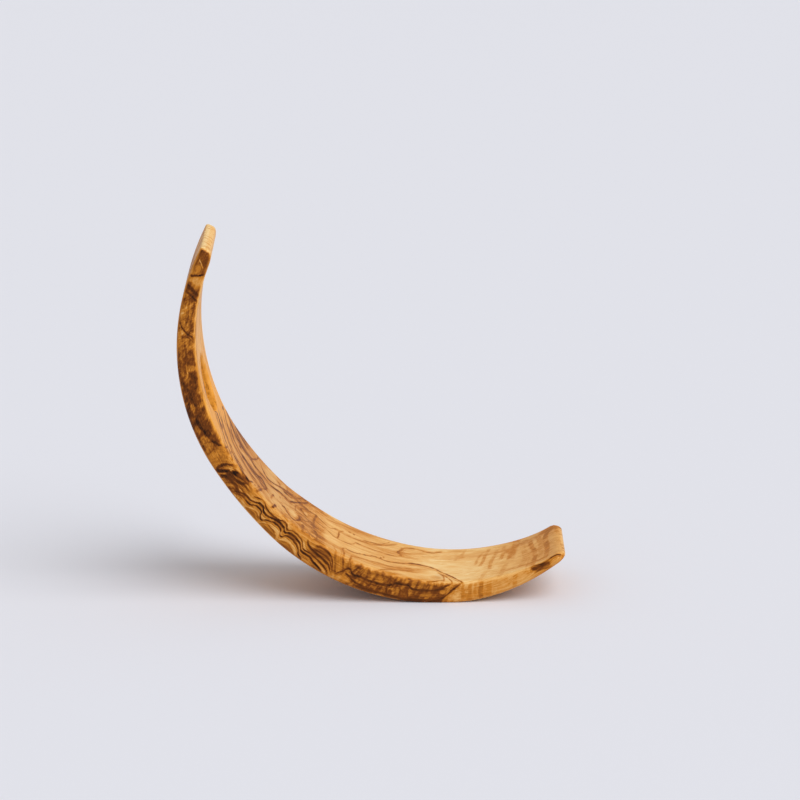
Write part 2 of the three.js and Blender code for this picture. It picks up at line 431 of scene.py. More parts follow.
# Veins of the side: how far along the board, and how deep below the outer face.
SIDE_ALONG = (
    # a pocket of dark wood under the lip
    (((-69, 4.2), (-65, 5.2), (-61, 6.4), (-57, 6.6)), 1.1, -2.6, 0.9),
    # a pointed wedge at the foot
    (((-15.5, 12.8), (-12.5, 11.6), (-10, 10), (-7.5, 8.6), (-5, 6.6), (-2.5, 4.6), (0, 3.1), (2.5, 2.2),
      (7, 2)), 0.8, 1.2, 0.88),
    (((-9, 13.4), (-5, 11.6), (-2, 10.1), (1, 9.1), (4, 8.6)), 0.7, 0.8, 0.84),
    # a lens of brown wood over the foot, with a line through its middle
    (((0, 9.2), (5, 8.5), (10, 8.1), (15, 8), (18, 9), (22, 10.3), (26, 10.3), (30, 9), (33, 8),
      (38, 7.8), (44, 7.8), (50, 8.2), (54, 8), (55.5, 8.6), (57.5, 10.3), (60, 8.5), (62, 6.2),
      (64, 3.8)), 0.75, -1.6, 0.92),
    (((41, 3.1), (46, 3.3), (49, 3.5), (53, 4.6), (56, 6), (59.5, 7.8)), 0.7, -1, 0.84),
    (((-1, 2), (10, 2.3), (18, 1.7), (30, 2.3), (40, 2.5), (52, 2.2)), 0.9, -2.5, 0.84),
    (((-1, 13.4), (3, 13.3), (6, 12.9), (9, 13.6), (12, 13.4), (15, 13.9), (18, 13.5), (22, 14.2)),
     0.6, 0, 0.76),
    (((29, 14.2), (34, 13.6), (38, 14.1), (46, 14.3)), 0.6, -0.8, 0.66),
    # a fan of rings that opens upwards and levels out
    (((64.5, 3.2), (67.4, 7.6), (71.2, 12), (74.9, 13.6), (79.9, 13.9), (84, 12.8)), 0.8, -1.6, 0.86),
    (((64.9, 2), (68, 7), (72.4, 10.1), (77.4, 11), (84, 10.7)), 0.65, -1.6, 0.8),
    (((65.9, 1.5), (69.3, 6.4), (74.3, 8.2), (81.2, 9.4), (86.5, 10.6), (90, 13.4)), 0.8, -1.8, 0.9),
    # scalloped rings along the flank
    (((67, 1.2), (70.6, 4.2), (74.9, 5.7), (79.9, 6.7), (83.7, 7.3), (86.8, 7), (89.3, 8.2), (91.8, 10.5),
      (96.2, 11.6), (100.5, 11.7), (102, 10.9), (103.3, 10.2), (105, 11.4), (108, 12.2), (110.5, 11.2),
      (113.7, 10.4), (119.3, 10.1), (121.8, 10.4), (125.9, 11.9), (128.7, 10.8), (132, 9)),
     0.55, -0.7, 0.88),
    (((71.5, 1.2), (74.9, 2.9), (79.3, 4.2), (83.7, 5.4), (87.4, 5.3), (89.9, 7), (93.1, 8.9),
      (98.1, 9.8), (101.5, 9.2), (103.3, 8.1), (105.6, 9.7), (109, 10.1), (114.9, 8.8), (119.3, 7.5),
      (121.8, 8.2), (124.6, 9.7), (128, 8.2), (131.2, 6.7), (134.9, 6.4), (138, 5.1), (140.6, 3),
      (142, 1.4)), 0.75, -1.3, 1),
    (((85, 1.4), (88.7, 3), (91.2, 5.7), (94.3, 7), (98.7, 7.6), (101.8, 6.6), (103.6, 4.7), (105.6, 7),
      (109, 8), (114.3, 6.6), (116.8, 5), (118.5, 3.6), (121.8, 6.6), (124.3, 7.2), (128, 5.7),
      (130.6, 4.3), (134.9, 4.5), (137.4, 3.6), (140, 1.4)), 0.6, -1.2, 0.92),
    (((89.3, 0.6), (93.7, 2.8), (97.5, 4), (100.5, 3.2), (103.2, 0.4)), 0.5, -3.5, 0.62),
    (((103.8, 0.4), (107, 3), (112, 4.2), (115.5, 3), (118.2, 0.4)), 0.5, -3.5, 0.62),
    (((118.8, 0.4), (121.5, 3.6), (124.5, 4.1), (127.5, 2.6), (130.5, 0.6)), 0.5, -3.5, 0.62),
    # dark arches below the hole
    (((138.5, 13), (142, 12.1), (146, 10.9), (150, 9.1), (152.5, 7)), 2, -3, 1),
    (((140, 10.8), (143, 8.3), (146.5, 7.1), (150, 6.5), (153, 4.6)), 1.1, -1.8, 0.88),
    (((138.5, 3.4), (141.5, 4.5), (145, 5), (149, 4.5), (152, 3.1), (154.5, 1)), 1.3, -3, 0.92),
    # a dark streak that climbs past the hole
    (((164.8, 13.6), (168, 11.8), (170, 10), (173, 8.2), (176, 7.2), (179, 6.4), (183, 5.2), (187, 4.6),
      (192, 5.1)), 0.95, 1.6, 0.95),
    # mottled wood of the arm
    (((196, 6.4), (203, 5.6), (207, 4.2), (211, 2.8), (216, 1.2)), 0.9, -1, 0.86),
    (((192, 5), (198, 6.6), (205, 6.2), (211, 7.6), (219, 6.4)), 0.8, 1.4, 0.78),
    (((216, 5), (222, 4), (228, 5.8), (236, 4.6)), 0.8, -1.4, 0.74),
    (((246, 7.6), (251, 7.2), (256, 7.6), (263, 6.6)), 0.5, 0, 0.74),
    (((247, 4.8), (253, 5.4), (258, 4.6), (263, 4.8)), 0.5, -0.6, 0.72),
    (((249, 9), (254, 8.5), (260, 8.7)), 0.45, 0, 0.7),
)
# Veins of the side that climb steeply: how deep below the outer face, and how far along the board.
SIDE_UP = (
    # soft strokes between the lip and the foot
    (((0, -23.2), (5, -24.2), (11, -26.2)), 1.8, 0, 0.54),
    (((0, -16.4), (5, -17.4), (11.5, -19.2)), 1.8, 0, 0.47),
    (((2, -12.8), (6, -13.4), (11.8, -14.8)), 1.2, 0, 0.46),
    (((2, -20.4), (6, -21), (11, -22.2)), 1.1, 0, 0.43),
    (((0, -28.2), (5, -29.2), (10.5, -31.2)), 2.2, 0, 0.43),
    (((1, -44), (5, -45.6), (9, -48)), 1.9, 0, 0.4),
    # strokes across the lens
    (((8.6, 9.6), (11, 10), (13.4, 10.4)), 0.8, 0, 0.62),
    (((2.4, 19.2), (6, 19.8), (9, 20.6)), 0.7, 0.9, 0.72),
    (((2.2, 24.8), (6, 24.2), (10, 24.4)), 0.6, -1.2, 0.68),
    (((9, 29.6), (12, 30.3), (14.6, 31.2)), 0.9, 0, 0.64),
    (((8.6, 33.3), (12, 32.8), (14.2, 32.4)), 0.45, 0, 0.62),
    (((8.4, 34.4), (12, 34.9), (14.4, 35.4)), 0.45, 0, 0.6),
    (((2.4, 31.7), (5, 32.2), (7.7, 32.6)), 0.6, 0.8, 0.8),
    (((2.8, 43.6), (5.5, 44.2), (7.7, 44.8)), 1.3, 0, 0.74),
    (((8.4, 44.2), (12, 44.9), (14.8, 45.4)), 1.2, 0, 0.63),
    (((8.4, 53), (11, 51.6), (14.4, 50)), 0.6, -1.2, 0.66),
    (((8.6, 55.8), (11, 54), (14.4, 52)), 0.6, 0, 0.8),
    (((10.5, 57), (12.5, 57.8), (15, 58.8)), 0.6, 0, 0.62),
    (((7, 60.2), (9, 61.2), (12, 62.8), (16, 65)), 0.9, 1.4, 0.72),
    (((3.5, 63.8), (6, 65), (9.5, 66.9), (13, 68.8), (16, 70.4)), 0.9, -1.4, 0.7),
    # arches below the hole
    (((-1, 157.4), (1.5, 156.6), (3.5, 155.4), (5.5, 154), (8, 151.8)), 1.5, -2.4, 0.96),
    (((0, 156.8), (2, 157.6), (4, 158.2), (6.5, 157.8), (9.5, 155.8), (12.8, 152.2)), 0.9, -1, 0.9),
    (((1, 161.8), (5, 161.2), (9, 160.6), (12.6, 159.4)), 1.1, 1.6, 0.54),
    (((1, 167.4), (3, 167.8), (6, 168.8), (8.4, 168.4)), 0.6, 0.9, 0.64),
    (((0.6, 173.8), (3, 174.3), (6.6, 173.9)), 0.6, 0, 0.6),
    # bands across the arm
    (((0, 249), (1.5, 247), (3, 244.4), (6, 241.2), (10.6, 237.8)), 0.9, 1.2, 0.84),
    (((5.5, 239.6), (7.5, 238.4), (10.6, 235.8)), 0.6, 0, 0.78),
    (((-3, 270.6), (2, 269), (4, 268.2), (6, 267), (8, 265.6), (12, 262.4)), 1.3, -3, 0.96),
    (((-3, 267.4), (2, 265.8), (5, 264.4), (8, 262.2), (12, 259)), 1, 0, 0.9),
    (((-4, 274.6), (0, 275.2), (3, 276.2), (6, 277.6), (8.5, 278.8), (12, 280.4)), 0.8, 0, 1),
    (((2, 285.9), (4, 284), (6.4, 281.9)), 0.4, 0, 0.2),
)
# Patches of the side: the middle, half the length, half the height and the tone.
SIDE_PATCHES = (
    (-73, 2.6, 6, 3.2, 0.34), (-66, 4, 4, 1.8, 0.56), (-62, 5, 3.4, 2, 0.74), (-59.4, 6, 2, 1.8, 0.9),
    (-10, 11.2, 3, 1.4, 0.62), (-1, 7.4, 2.4, 1.5, 0.36), (-4.5, 10.4, 1.8, 1, 0.38),
    (25.9, 6, 1.2, 3.6, 0.48), (33.6, 5.4, 0.7, 2.6, 0.52), (40.6, 5.4, 1.6, 1.8, 0.54),
    (47.2, 11.4, 1, 3, 0.48), (50.6, 6, 0.9, 2, 0.48), (57, 3.8, 3.8, 2.2, 0.36),
    (57, 12.6, 2.4, 2.2, 0.46), (38, 11.4, 1.4, 2.6, 0.5), (8, 5.4, 4, 1.8, 0.52),
    (30, 4.4, 1.4, 1.8, 0.76), (22, 4.4, 2.2, 2.4, 0.62), (35, 1.6, 2.4, 1, 0.4),
    (75.5, 10.8, 7.5, 2.6, 0.58), (80, 8.4, 6, 1.5, 0.56), (97, 8.6, 6.4, 1.2, 0.56),
    (111, 9.2, 6.4, 1, 0.54), (125, 9.2, 3.6, 1, 0.54), (80, 2.4, 3, 1, 0.36), (96.6, 0.6, 7, 3.2, 0.68),
    (111, 0.6, 7.2, 3.3, 0.68), (124.2, 0.8, 5.8, 3.2, 0.68), (144, 11.8, 2.6, 1, 0.92),
    (149, 2.6, 4, 1.2, 0.62), (158, 11, 3.6, 2.2, 0.4), (172.4, 11.2, 1.9, 1.2, 0.84),
    (178, 8.2, 2.4, 1.1, 0.84), (186, 7.8, 4.4, 2.4, 0.76), (187, 4.4, 2.6, 1, 0.92),
    (176, 3.6, 4, 2.4, 0.46), (183, 2.4, 3.6, 1.4, 0.6), (197, 4, 2.6, 1.1, 0.44), (202, 8.6, 3, 2, 0.74),
    (213, 8.8, 4, 2, 0.9), (208.6, 7.4, 2, 1.4, 0.82), (220.5, 8.6, 2.2, 2.4, 0.46),
    (228, 8.4, 4.4, 1.7, 0.7), (224, 3.4, 3, 1.4, 0.56), (234, 2.6, 3, 1.6, 0.5),
    (246, 2.6, 3.4, 1.4, 0.48), (244, 8.4, 2, 1.4, 0.78), (262, 5.6, 2.2, 1.6, 0.8),
    (261, 2.8, 3, 1.2, 0.54), (273.2, 5.6, 2.6, 3.2, 0.34), (270.8, 2, 1.6, 2, 0.66),
    (281, 3.8, 2.8, 1.8, 0.45), (281.5, 7.4, 2, 1, 0.66), (288, 4, 3.4, 4, 0.7),
)

# Veins of the inner face: how far along the board, and how far across it, from the middle.
INNER_ALONG = (
    # the long wedge that starts at the foot
    (((-15.8, -33), (-13, -29.2), (-10, -24.5), (-5, -18), (0, -12.6), (3, -8.6), (8, -5.6), (12, -4.6),
      (17, -4), (21, -5.6)), 1.2, -3, 0.68),
    (((16, -4.2), (21, -6), (25, -8), (30, -10), (35, -11), (40, -9.6), (43, -9.6), (47, -12),
      (50, -13.2), (53, -15), (57, -16.6), (60, -16.8), (64.4, -15.6)), 1, 0, 0.6),
    (((-3, -28.2), (0, -28.8), (4, -30), (10, -31.4)), 0.7, -1, 0.6),
    (((18, -13), (25, -16.5), (33, -18.8), (40, -19), (48, -20.3), (54, -22), (59, -24.4)),
     0.9, -1.5, 0.5),
    (((16, -15), (24, -19.5), (30, -23), (36, -26.5), (41, -31)), 0.9, -1.5, 0.5),
    # long rings of the far half
    (((-2, 23.5), (2, 22), (5, 20.6), (10, 21.5), (16, 23.4), (20, 22.6), (24.4, 20.4)), 1.1, 1.2, 0.52),
    (((25.6, 4), (30, 2.6), (36, 2), (45, 2), (52, 2.2), (57.5, 3)), 1, -1.2, 0.54),
    (((56, 3), (58.5, -2), (61, -4.4), (66, -5.8), (71, -5.5), (75, -2.6), (80, 0.2), (84, 1.6), (88, 4)),
     1, 0, 0.54),
    (((27, 26), (33, 20), (38, 15.4), (43, 12), (48, 10.3), (55, 9.6), (60, 8.8), (67, 8)),
     1.2, 1.8, 0.52),
    (((32, 27), (36, 20.4), (40, 16), (46, 14), (52, 12.6)), 1, 0, 0.58),
    (((50, 27), (58, 25), (66, 23.4), (72, 20.6), (79, 18.4)), 0.9, 0, 0.46),
    (((69, 10), (73, 8.3), (75, 6), (78, 7), (82, 9.5), (88, 14)), 0.9, -1.2, 0.54),
    (((71, 11.6), (76, 8.6), (82, 12), (89, 17)), 0.7, 0, 0.14),
    # a knot of crossing veins
    (((91, -6.6), (95, -9.6), (99, -8.6)), 1, 0, 0.72),
    (((98.4, -12), (100.5, -19), (103, -21.6), (106, -20.2), (108.4, -17), (111, -13), (113.5, -16)),
     1.1, 0, 0.78),
    (((93, 27), (97, 19.6), (100, 15.8), (102.5, 11), (105, 7.5), (108, 4.6), (111, 5.8), (114, 6.2),
      (117.5, 4.8), (121, 2.6), (124, 2), (128, 3.2), (132, 4.2), (137, 4.8), (140.4, 7), (142.6, 10)),
     1.6, -1.8, 0.84),
    (((109, 21), (112.5, 17.6), (116, 15.4), (119.5, 12), (122, 9.6), (125.4, 8.6), (128, 10), (131, 14),
      (133, 19), (135.4, 28)), 1.4, -1.4, 0.76),
    (((96, 28), (101, 22), (105, 15), (110, 13.4)), 1.2, 0, 0.64),
    # streaks that climb towards the hole
    (((125, -12), (127, -8.4), (129, -5), (131.5, -3), (134, -5), (137, -6.2), (140, -6.2), (143, -4.6),
      (148, -3.4), (153, -2), (157, 0.5), (160, 5), (163, 11), (165, 17), (166.5, 25)), 1.5, -1.6, 0.82),
    (((134, -17), (140, -15.6), (146, -13), (152, -9), (157, -6), (162, 0), (167, 8), (171, 16),
      (174.5, 26)), 1.3, -1.6, 0.72),
    (((146, -25), (151, -23), (156, -19), (161, -14), (166, -9), (170, -4), (175, 4), (179, 13)),
     1.3, -1.6, 0.72),
    (((143, -31), (152, -28), (160, -25), (166, -20), (171, -15), (176, -8), (181, 0)), 1, -1.2, 0.54),
    (((140, 12), (146, 10), (151, 12.6), (156, 17), (160, 26)), 1.3, -1.4, 0.7),
    (((196, -30), (208, -26.6), (220, -25.4), (234, -26.6), (246, -25.8)), 0.9, 0, 0.62),
    (((214, -19), (230, -16.4), (250, -18.4), (272, -15)), 0.9, -2, 0.56),
    (((220, 6), (236, 10.2), (252, 8), (270, 11.4), (292, 9)), 1, 2.4, 0.6),
    (((200, 26), (216, 21.6), (236, 23.8), (262, 20), (290, 22)), 1, -2, 0.54),
    (((226, -6), (240, -2.6), (256, -6.4), (276, -2)), 0.8, 0, 0.48),
)
# Veins of the inner face that cross it: how far across the board, and how far along it.
INNER_UP = (
    # soft strokes over the lip
    (((-31, -58), (-18, -60.5), (-8, -61.5), (4, -60.2), (18, -59)), 1.8, 3.4, 0.5),
    (((-24, -67.4), (-6, -69.5), (8, -69), (24, -72.8)), 2.4, 0, 0.5),
    (((-20, -52), (-4, -55), (8, -54), (24, -56.4)), 2.4, 0, 0.35),
    (((-18, -64), (2, -65.6), (22, -63.6)), 2.2, 0, 0.38),
    (((-4, -45.4), (8, -47), (15, -49), (30, -51.6)), 3.4, 0, 0.43),
    (((-31, -37), (-22, -39.6), (-8, -43)), 2, 0, 0.32),
    (((-33, -24.4), (-26, -26.4), (-14, -29.6)), 1.7, 0, 0.29),
    (((-14, -31.4), (2, -33.6), (8, -35.6), (20, -38)), 1.7, 0, 0.37),
    (((-2, -38.6), (9, -41), (24, -42.6)), 1.6, 0, 0.38),
    (((-6, -25.6), (5, -28.4), (12, -29.6), (24, -32.8)), 1.5, 0, 0.38),
    (((-3, -22.4), (6, -24.4), (12, -26), (20, -28.4)), 1.1, 0, 0.38),
    (((7, -9.4), (15, -13), (22, -16), (29, -17.2)), 1.2, 0, 0.32),
    # the wedge's second line
    (((-33, -7.4), (-27, -6.6), (-22, -3.8), (-17, -1)), 0.7, 0, 0.52),
    (((-30, -1.8), (-25, -2.4), (-21, -1.8), (-15, 1.4)), 0.7, 0, 0.56),
    # ends of the rings
    (((-34, 65), (-27, 64), (-20, 65.3), (-15.5, 63.4)), 0.9, 1.6, 0.6),
    (((-34, 59.4), (-27, 59.3), (-23, 58.3)), 0.8, 0, 0.56),
    (((-33, 69.8), (-28, 70.4), (-22, 72.4)), 0.8, 0, 0.44),
    (((3, 26.8), (6, 26), (10, 27.3), (15, 25.8), (21.5, 24)), 1.2, -1.6, 0.6),
    (((-6, 70), (0, 69), (5, 69), (9, 67.6), (14, 65)), 0.8, 0, 0.56),
    # a knot of crossing veins
    (((-14, 86.8), (-6, 87.7), (2, 87.5), (9, 86.8), (16, 86)), 1, 0, 0.62),
    (((-2, 93), (2, 95.5), (5, 98), (8, 97.2), (12, 93.4)), 0.9, 0, 0.72),
    (((-21.5, 102), (-16, 99), (-12, 98.3), (-7, 99.4)), 1, -1.4, 0.74),
    (((-20, 84), (-14, 82.6), (-6, 80.4), (-2, 78)), 0.8, 0, 0.44),
    (((-33, 85.6), (-26, 84.4), (-20, 85.6)), 0.9, 0, 0.56),
    (((-33, 96.4), (-28, 95.4), (-22, 97)), 0.9, -1.4, 0.6),
    (((-5, 102), (0, 102.6), (5, 102.2), (9, 100.4), (14, 98.4), (19, 97), (25, 94.6)), 0.8, 0, 0.58),
    (((-20, 121.8), (-15, 121.2), (-11, 120.4)), 0.9, 0, 0.56),
    (((-34, 120.2), (-28, 119), (-22, 117.4)), 0.9, 0, 0.74),
    (((6, 142.4), (12, 140.6), (16, 139), (20, 137.5), (28, 136)), 1, 0, 0.68),
    (((-34, 133.6), (-28, 132), (-23, 130.5), (-18, 128.8), (-13, 126.6), (-8, 125.8)), 1, 1.6, 0.72),
    (((-34, 142), (-30, 140.2), (-25, 137.6)), 0.9, 0, 0.78),
    (((-34, 154), (-30, 152.6), (-20, 151)), 0.8, 0, 0.52),
    (((2, 151.8), (7, 152.6), (12, 153.8), (18, 155)), 1, -1.2, 0.66),
    (((-34, 163), (-26, 160.6), (-18, 158.4)), 0.8, 0, 0.56),
    (((-34, 167), (-28, 165.4), (-22, 164)), 0.8, 0, 0.64),
)
# Veins that run over the edge between the two: how far along the board, and how far down the side, or in
# from the side where negative.
RIM_ALONG = (
    # the upper rim of the dark pocket at the lip
    (((-79.5, 1.6), (-77.6, 0.2), (-75, -1.2), (-72.5, -1.4), (-69, -0.6), (-65, 0), (-62, -0.6),
      (-59.4, -1.4), (-57.4, 0.4), (-56, 3)), 0.8, 1.6, 0.95),
)
# Patches of the inner face: the middle, half the length, half the width and the tone.
INNER_PATCHES = (
    (-72, 23, 8, 5, 0.52), (-46, 12, 5, 6, 0.42), (-13, 14, 3.6, 4, 0.36), (-11, 26, 6, 2.6, 0.36),
    (-18, -8, 12, 10, 0.12), (2, -4, 5, 4, 0.1), (3, -24, 4, 4, 0.3), (20, -25, 9, 5, 0.2),
    (62, 1, 3.6, 3.6, 0.2), (74, -13, 6, 8, 0.18), (58, 16, 1, 1.6, 0.6), (61, 17, 1.2, 2, 0.5),
    (37, -6, 1, 1.6, 0.5), (39, -8, 0.8, 1.4, 0.58), (42, -9, 1.2, 1, 0.62), (50, -13, 1.3, 1.2, 0.66),
    (53, -14.4, 0.9, 1.2, 0.6), (55, 2.6, 1.2, 1.2, 0.64), (83, 1.4, 0.8, 1, 0.62), (94, 4, 2, 3, 0.2),
    (95.4, -21.6, 1.6, 3.6, 0.64), (104, -12, 4, 6, 0.14), (113, 20, 3, 5, 0.16), (124, 21, 6, 7, 0.2),
    (118, -5, 7, 4, 0.22), (120.3, -10.4, 1.2, 2, 0.8), (118, -25, 1.5, 2.2, 0.92),
    (119.2, -29.8, 1.1, 2, 0.84), (115, -3, 0.8, 2, 0.5), (111, 13.6, 2.2, 1.8, 0.84),
    (132.6, -21, 1.2, 3, 0.6), (135.8, -27, 1.1, 2, 0.56), (161, -13.6, 1.2, 1.8, 0.66),
    (148.6, -4.6, 1.8, 4, 0.68), (152.6, 6, 1.1, 3, 0.7), (154, 13, 0.9, 2.2, 0.78),
    (173.4, -9, 2.2, 6, 0.68), (176, 23, 1.4, 3.4, 0.76), (142, 20, 4, 6, 0.4), (164, -4, 4, 6, 0.36),
    (96, 8, 4, 4, 0.42), (86, 4, 3, 8, 0.42),
)
# Rosy patches of the inner face: the middle, half the length and half the width.
ROSY_PATCHES = (
    (91, -10, 7, 14), (108, 12, 4, 6), (148, -4, 4, 8), (158, 20, 8, 8), (173, -8, 5, 12),
    (-62, 20, 14, 8), (0, -22, 4, 6), (134, 4, 46, 38),
)

# Plain tone along the board, before its veins, of the side, the inner face and the outer face.
SIDE_TONE = (
    (-79, 0.4), (-60, 0.38), (-45, 0.34), (-28, 0.34), (-15, 0.34), (-6, 0.38), (2, 0.57), (30, 0.61),
    (56, 0.56), (61, 0.42), (66, 0.42), (76, 0.47), (85, 0.45), (92, 0.34), (130, 0.35), (141, 0.45),
    (155, 0.43), (160, 0.46), (167, 0.52), (174, 0.64), (190, 0.72), (215, 0.67), (240, 0.55),
    (262, 0.58), (268, 0.66), (273, 0.42), (279, 0.6), (286, 0.7), (293, 0.67),
)
INNER_TONE = (
    (-79, 0.33), (-60, 0.29), (-46, 0.25), (-30, 0.2), (0, 0.17), (12, 0.22), (35, 0.29), (60, 0.31),
    (75, 0.31), (85, 0.48), (98, 0.46), (104, 0.38), (118, 0.37), (132, 0.48), (160, 0.5), (174, 0.47),
    (186, 0.36), (200, 0.28), (230, 0.26), (293, 0.24),
)
OUTER_TONE = ((-79, 0.34), (-20, 0.26), (40, 0.34), (120, 0.26), (200, 0.34), (293, 0.28))
# How strongly a painted highlight makes the rounded edge between the side and the inner face paler along the
# board.
ARRIS_HIGHLIGHT_SHARE = (
    (-79, 0), (-52, 0), (-40, 0.5), (-16, 0.6), (0, 0.4), (60, 0.4), (80, 0.6), (160, 0.7),
    (180, 0.4), (262, 0.3), (272, 0.2), (293, 0),
)
# How much the cross strokes and the smoky mottling of the side show along the board.
STROKE_SHARE = (
    (-79, 0), (-38, 0.1), (-28, 0.4), (-12, 0.4), (0, 0.8), (58, 1), (63, 0.1), (293, 0),
)
SMOKE_SHARE = (
    (-79, 0.15), (-30, 0.1), (0, 0.25), (58, 0.35), (64, 0.1), (134, 0.12), (146, 0.4), (163, 0.35),
    (174, 0.8), (200, 1), (262, 0.95), (272, 0.35), (293, 0.6),
)
# The side's fan and scalloped rings repeat this line in fine echoes: how far along the board, and how deep.
ECHO_LINE = (
    (62.5, -16), (64.5, -8), (67.5, -2.4), (71.5, 1.2), (74.9, 2.9), (79.3, 4.2), (83.7, 5.4),
    (87.4, 5.3), (89.9, 7), (93.1, 8.9), (98.1, 9.8), (101.5, 9.2), (103.3, 8.1), (105.6, 9.7),
    (109, 10.1), (114.9, 8.8), (119.3, 7.5), (121.8, 8.2), (124.6, 9.7), (128, 8.2), (131.2, 6.7),
    (134.9, 6.4), (138, 5.1), (142, 1.4),
)
ECHO_SHARE = ((60, 0), (65, 1.2), (84, 1.2), (92, 0.85), (136, 0.85), (142, 0))
ECHO_REACH = ((60, 13), (84, 11), (92, 3), (142, 3))
# How much the rings of the arches below the hole show along the board.
ARCH_SHARE = ((134, 0), (140, 1), (154, 1), (160, 0.5), (168, 0.2), (176, 0))
# Streaks of the inner face: how far across they have drifted along the board, how far they swirl and how
# much they show.
STREAK_DRIFT = (
    (-79, 4), (-20, 2), (0, 0), (20, -6), (60, -12), (90, -10), (125, -4), (150, 6), (165, 20), (180, 38),
    (200, 50), (293, 60),
)
STREAK_SWIRL = ((-79, 1.2), (60, 1.2), (76, 1.8), (90, 5.5), (112, 4.5), (128, 2), (293, 1.2))
STREAK_SHARE = (
    (-79, 0.6), (-40, 0.6), (-15, 0.4), (20, 0.7), (72, 1), (88, 1.6), (104, 1.7), (128, 1.8),
    (172, 2), (200, 1.7), (250, 1.4), (293, 1.2),
)
# How golden the inner face is along the board.
WARM_SHARE = (
    (-79, 0), (90, 0), (140, 0.05), (170, 0.45), (188, 0.8), (205, 0.7), (235, 0.45), (293, 0.35),
)

# Textures of the wood: the size of their lumps along, across and into the board, in millimetres, then their
# detail, their roughness and, in degrees, how far they lean on the side.
TEXTURES = {
    "waver": ((7, 5, 3.5), 4, 0.6, 0),
    "drift": ((48, 24, 15), 2, 0.5, 0),
    "strokes": ((2.1, 40, 26), 3, 0.5, 0),
    "grain": ((42, 1.7, 1.3), 3, 0.6, 0),
    "fibre": ((16, 0.55, 0.5), 2, 0.5, 0),
    "clouds": ((30, 7, 6), 3, 0.5, 0),
    "ink": ((5, 5, 4), 2, 0.5, 0),
    "shuffle": ((60, 60, 30), 1, 0.5, 0),
    "bars": ((2.6, 30, 13), 3, 0.55, -26),
    "smoke": ((9, 14, 3.4), 3, 0.5, -40),
    "specks": ((2.2, 4, 1.1), 3, 0.6, -40),
    "echoes": ((30, 60, 0.75), 2, 0.5, 0),
    "arches": ((24, 60, 1.1), 2, 0.5, 0),
    "swirl": ((9, 7, 7), 3, 0.5, 0),
    "streaks": ((52, 4.4, 8), 5, 0.66, 0),
    "lines": ((74, 6, 11), 4, 0.62, 0),
    "bands": ((44, 10, 14), 1, 0.5, 0),
    "wander": ((150, 34, 30), 3, 0.45, 0),
    "ring strength": ((46, 16, 14), 2, 0.5, 0),
    "teeth": ((3.6, 40, 18), 2, 0.5, 0),
    "end lines": ((4, 2.2, 10), 4, 0.55, 0),
    "flecks": ((7, 0.5, 0.45), 1, 0.5, 0),
    "pores": ((5, 0.35, 0.35), 1, 0.5, 0),
}
# Where a soft step over a texture, a tone or a place in millimetres begins and ends.
STEPS = {
    "ink": (-0.9, 0.6),
    "bars": (-0.5, 0.5),
    "echoes": (0, 0.7),
    "lines": (0.2, 0.6),
    "ring strength": (-0.7, 0.8),
    "heart": (-0.1, 0.9),
    "end lines": (0, 0.7),
    "flecks": (0.45, 0.9),
    "pores": (-0.95, -0.55),
    "patch": (0.45, 1.15),
    "rosy tones": (0.45, 0.85),
    "golden tones": (0.3, 0.7),
    "arris gaps": (-0.9, 0.3),
    "arris_highlight": (0.4, 2.6),
    "echo reach": (-2, 1),
    "inner face": (-1.5, 1.5),
    "outer face": (-1.2, 1.2),
    "bore wall": (1, 2.2),
    "far half": (-12, 12),
    "tip half": (-10, 10),
    "tip end": (291.2, 292.4),
    "lip end": (-78.2, -77.2),
}
# How much each texture darkens a face. The lines of a face waver, shift and spread in millimetres.
SIDE = SimpleNamespace(
    clouds=0.05, grain=0.05, bars=0.13, smoke=0.32, specks=0.16, echoes=0.26, echo_gaps=0.08, arches=0.36,
    ink=0.7, waver=0.16, far_shift=12, far_shuffle=9, far_drop=0.7, arch_middle=139, arch_squeeze=0.68,
    # the palest tone of the painted highlight on the side's rounded edge, and how much the smoke breaks it
    # up
    arris_highlight_tone=0.34, arris_highlight_smoke=0.4)
INNER = SimpleNamespace(clouds=0.08, streaks=0.22, lines=0.2, bands=0.12, gaps=0.05, palest=-0.09)
OUTER = SimpleNamespace(
    clouds=0.07, grain=0.07, heart=0.16, heart_clouds=0.3, edges=0.4, fine=0.05, heart_fine=0.2,
    faintest=0.2, rings_per_mm=0.07, ring_wander=2.2, ring_clouds=0.07, fine_rings=4)
BORE = SimpleNamespace(tone=0.46, strokes=0.1, grain=0.1)
ENDS = SimpleNamespace(tip_tone=0.08, lip_tone=0.2, lines=0.36, fibre=0.05)
ALL_OVER = SimpleNamespace(fibre=0.09, flecks=0.1, teeth=2.4, rim_waver=0.6, rosy=0.19, rosy_clouds=0.1)
FINISH = SimpleNamespace(fibre=0.03, pores=0.2, tone=0.06, fibre_height=0.3)
# The tone at which each colour of the wood stands.
TONE_COLOURS = (("cream", 0.0), ("honey", 0.2), ("amber", 0.42), ("brown", 0.68), ("dark", 1.0))
# How dark a ring of the outer face is from one edge to the other.
RING_EDGE = ((0, 0), (0.5, 0.1), (0.92, 1), (1, 0))
FINE_RING_EDGE = ((0, 0), (0.6, 0.1), (0.88, 1), (1, 0))
# How dark a vein is across its width, on its thin side and on a side without or with a shade, and then
# across the shade. It fades out at its ends, over a share of its length and at most over some millimetres.
THIN_SIDE = ((-2, 0), (-1, 0.15), (-0.4, 1))
PLAIN_SIDE = ((0.4, 1), (1, 0.2), (2.4, 0))
SHADED_SIDE = ((0.4, 1), (1, 0.5))
SHADE = ((0.45, 0.2), (0.65, 0.4), (1, 0))
VEIN_FADE, LONGEST_FADE = 0.2, 4
# How strongly a patch and the faintest veins are drawn, and how far a mark shifts with a full tone below it.
PATCH_INK = 0.8
FAINTEST_INK = 0.35
MARK_SHIFT = 0.1
# How far the waver and the drift move a place along, across and into the board: the waver in wobbles, and
# the drift in millimetres.
WAVER_REACH = (2.2, 2.2, 1.1)
DRIFT_REACH = (0, 16, 5)
